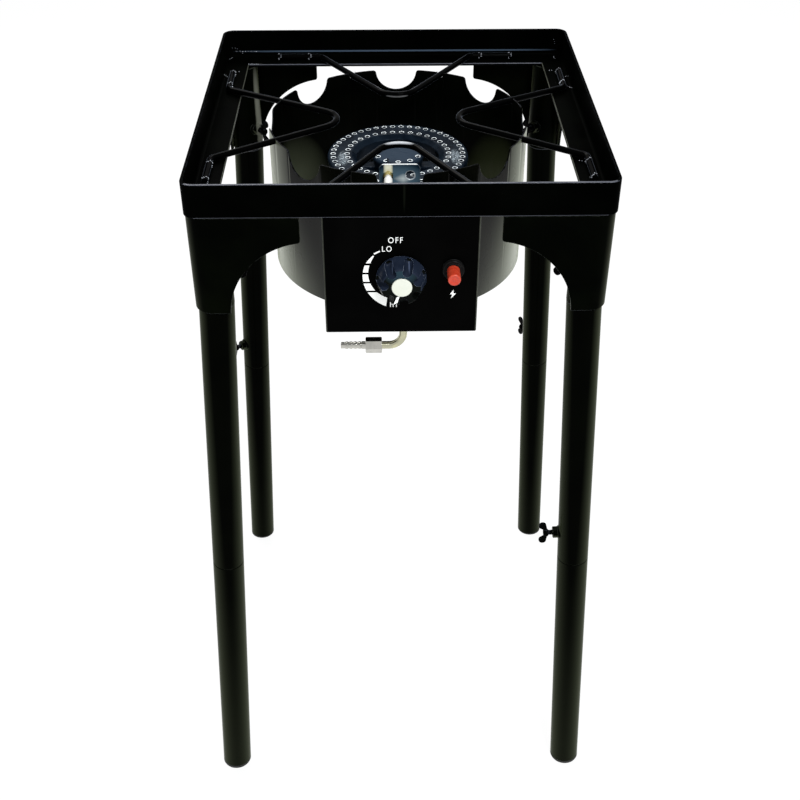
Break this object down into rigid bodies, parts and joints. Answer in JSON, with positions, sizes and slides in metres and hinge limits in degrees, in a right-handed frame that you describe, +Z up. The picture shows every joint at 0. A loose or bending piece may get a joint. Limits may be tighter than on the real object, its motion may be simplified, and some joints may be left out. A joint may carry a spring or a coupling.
{
  "type": "gas burner stove",
  "caption": "Freestanding single-burner gas stove: square angle frame, bent-rod pot supports, scalloped wind shield, iron burner, igniter, control panel and splayed sectional legs.",
  "frame": {"origin": "on the floor under the middle of the square top frame", "axes": "+Z up; -Y is the front with the control panel and knob; +X to the right seen from the front"},
  "size_m": [0.4628, 0.4628, 0.815],
  "materials": {
    "black_coat": "gloss powder coat",
    "leg_coat": "gloss powder coat",
    "panel_coat": "satin paint",
    "iron": "dark oiled casting",
    "bright_steel": "polished",
    "zinc_steel": "yellow zinc plating",
    "nickel_steel": "nickel plating",
    "brass": "machined",
    "ceramic": "glazed white ceramic",
    "navy_plastic": "smooth moulded",
    "cream_plastic": "smooth moulded",
    "black_plastic": "moulded",
    "red_plastic": "smooth moulded",
    "rubber": "matte moulded"
  },
  "bodies": {
    "stove": {"top_frame": "black_coat", "pot_support_right": "black_coat", "pot_support_back": "black_coat", "pot_support_left": "black_coat", "pot_support_front": "black_coat", "corner_bracket_back_right": "black_coat", "corner_bracket_back_left": "black_coat", "corner_bracket_front_left": "black_coat", "corner_bracket_front_right": "black_coat", "wind_shield": "black_coat", "burner": "iron", "mixing_tube": "iron", "burner_strap_left": "black_coat", "burner_strap_right": "black_coat", "burner_bolt_left": "bright_steel", "burner_bolt_right": "bright_steel", "igniter_plate": "bright_steel", "electrode_ceramic": "ceramic", "electrode_nut": "brass", "electrode_wire": "zinc_steel", "control_panel": "panel_coat", "valve_body": "brass", "gas_jet": "brass", "igniter_body": "black_plastic", "igniter_collar": "black_plastic", "inlet_elbow": "zinc_steel", "inlet_nut": "nickel_steel", "hose_tail": "nickel_steel"},
    "air_shutter": {"air_shutter": "zinc_steel"},
    "knob": {"knob": "navy_plastic", "knob_cap": "cream_plastic", "valve_stem": "zinc_steel"},
    "igniter_button": {"igniter_button": "red_plastic"},
    "socket_screw_back_right": {"socket_screw_back_right": "black_coat"},
    "leg_upper_back_right": {"leg_upper_back_right": "leg_coat"},
    "mid_screw_back_right": {"mid_screw_back_right": "black_coat"},
    "leg_lower_back_right": {"leg_lower_back_right": "leg_coat", "foot_cap_back_right": "rubber"},
    "socket_screw_back_left": {"socket_screw_back_left": "black_coat"},
    "leg_upper_back_left": {"leg_upper_back_left": "leg_coat"},
    "mid_screw_back_left": {"mid_screw_back_left": "black_coat"},
    "leg_lower_back_left": {"leg_lower_back_left": "leg_coat", "foot_cap_back_left": "rubber"},
    "socket_screw_front_left": {"socket_screw_front_left": "black_coat"},
    "leg_upper_front_left": {"leg_upper_front_left": "leg_coat"},
    "mid_screw_front_left": {"mid_screw_front_left": "black_coat"},
    "leg_lower_front_left": {"leg_lower_front_left": "leg_coat", "foot_cap_front_left": "rubber"},
    "socket_screw_front_right": {"socket_screw_front_right": "black_coat"},
    "leg_upper_front_right": {"leg_upper_front_right": "leg_coat"},
    "mid_screw_front_right": {"mid_screw_front_right": "black_coat"},
    "leg_lower_front_right": {"leg_lower_front_right": "leg_coat", "foot_cap_front_right": "rubber"}
  },
  "joints": [
    {"name": "knob_turn", "type": "hinge", "parent": "stove", "child": "knob", "pos_m": [0, -0.2, 0.7165], "axis": [0, 1, 0], "range_deg": [0, 165]},
    {"name": "button_press", "type": "slide", "parent": "stove", "child": "igniter_button", "axis": [0, 1, 0], "range_m": [0, 0.006], "stiffness_N_per_m": 800, "springref_m": -0.004},
    {"name": "air_shutter_turn", "type": "hinge", "parent": "stove", "child": "air_shutter", "pos_m": [0, -0.154, 0.7165], "axis": [0, 1, 0], "range_deg": [-40, 20]},
    {"name": "socket_screw_back_right_turn", "type": "hinge", "parent": "stove", "child": "socket_screw_back_right", "pos_m": [0.18, 0.18, 0.707], "axis": [-0.7071, -0.7071, 0], "range_deg": [0, 720]},
    {"name": "leg_upper_back_right_slide", "type": "slide", "parent": "stove", "child": "leg_upper_back_right", "axis": [0, 0, -1], "range_m": [0, 0.033]},
    {"name": "mid_screw_back_right_turn", "type": "hinge", "parent": "leg_upper_back_right", "child": "mid_screw_back_right", "pos_m": [0.1949, 0.1949, 0.38091], "axis": [-0.4967, 0.8678, 0.0186], "range_deg": [0, 720]},
    {"name": "leg_lower_back_right_slide", "type": "slide", "parent": "leg_upper_back_right", "child": "leg_lower_back_right", "axis": [0.0499, 0.0499, -0.9975], "range_m": [0, 0.05]},
    {"name": "socket_screw_back_left_turn", "type": "hinge", "parent": "stove", "child": "socket_screw_back_left", "pos_m": [-0.18, 0.18, 0.707], "axis": [0.7071, -0.7071, 0], "range_deg": [0, 720]},
    {"name": "leg_upper_back_left_slide", "type": "slide", "parent": "stove", "child": "leg_upper_back_left", "axis": [0, 0, -1], "range_m": [0, 0.033]},
    {"name": "mid_screw_back_left_turn", "type": "hinge", "parent": "leg_upper_back_left", "child": "mid_screw_back_left", "pos_m": [-0.1949, 0.1949, 0.38091], "axis": [-0.8198, -0.5725, 0.0124], "range_deg": [0, 720]},
    {"name": "leg_lower_back_left_slide", "type": "slide", "parent": "leg_upper_back_left", "child": "leg_lower_back_left", "axis": [-0.0499, 0.0499, -0.9975], "range_m": [0, 0.05]},
    {"name": "socket_screw_front_left_turn", "type": "hinge", "parent": "stove", "child": "socket_screw_front_left", "pos_m": [-0.18, -0.18, 0.707], "axis": [0.7071, 0.7071, 0], "range_deg": [0, 720]},
    {"name": "leg_upper_front_left_slide", "type": "slide", "parent": "stove", "child": "leg_upper_front_left", "axis": [0, 0, -1], "range_m": [0, 0.033]},
    {"name": "mid_screw_front_left_turn", "type": "hinge", "parent": "leg_upper_front_left", "child": "mid_screw_front_left", "pos_m": [-0.1949, -0.1949, 0.38091], "axis": [0.1306, 0.9899, -0.056], "range_deg": [0, 720]},
    {"name": "leg_lower_front_left_slide", "type": "slide", "parent": "leg_upper_front_left", "child": "leg_lower_front_left", "axis": [-0.0499, -0.0499, -0.9975], "range_m": [0, 0.05]},
    {"name": "socket_screw_front_right_turn", "type": "hinge", "parent": "stove", "child": "socket_screw_front_right", "pos_m": [0.18, -0.18, 0.707], "axis": [-0.7071, 0.7071, 0], "range_deg": [0, 720]},
    {"name": "leg_upper_front_right_slide", "type": "slide", "parent": "stove", "child": "leg_upper_front_right", "axis": [0, 0, -1], "range_m": [0, 0.033]},
    {"name": "mid_screw_front_right_turn", "type": "hinge", "parent": "leg_upper_front_right", "child": "mid_screw_front_right", "pos_m": [0.1949, -0.1949, 0.38091], "axis": [-0.9987, 0.0011, -0.05], "range_deg": [0, 720]},
    {"name": "leg_lower_front_right_slide", "type": "slide", "parent": "leg_upper_front_right", "child": "leg_lower_front_right", "axis": [0.0499, -0.0499, -0.9975], "range_m": [0, 0.05]}
  ]
}
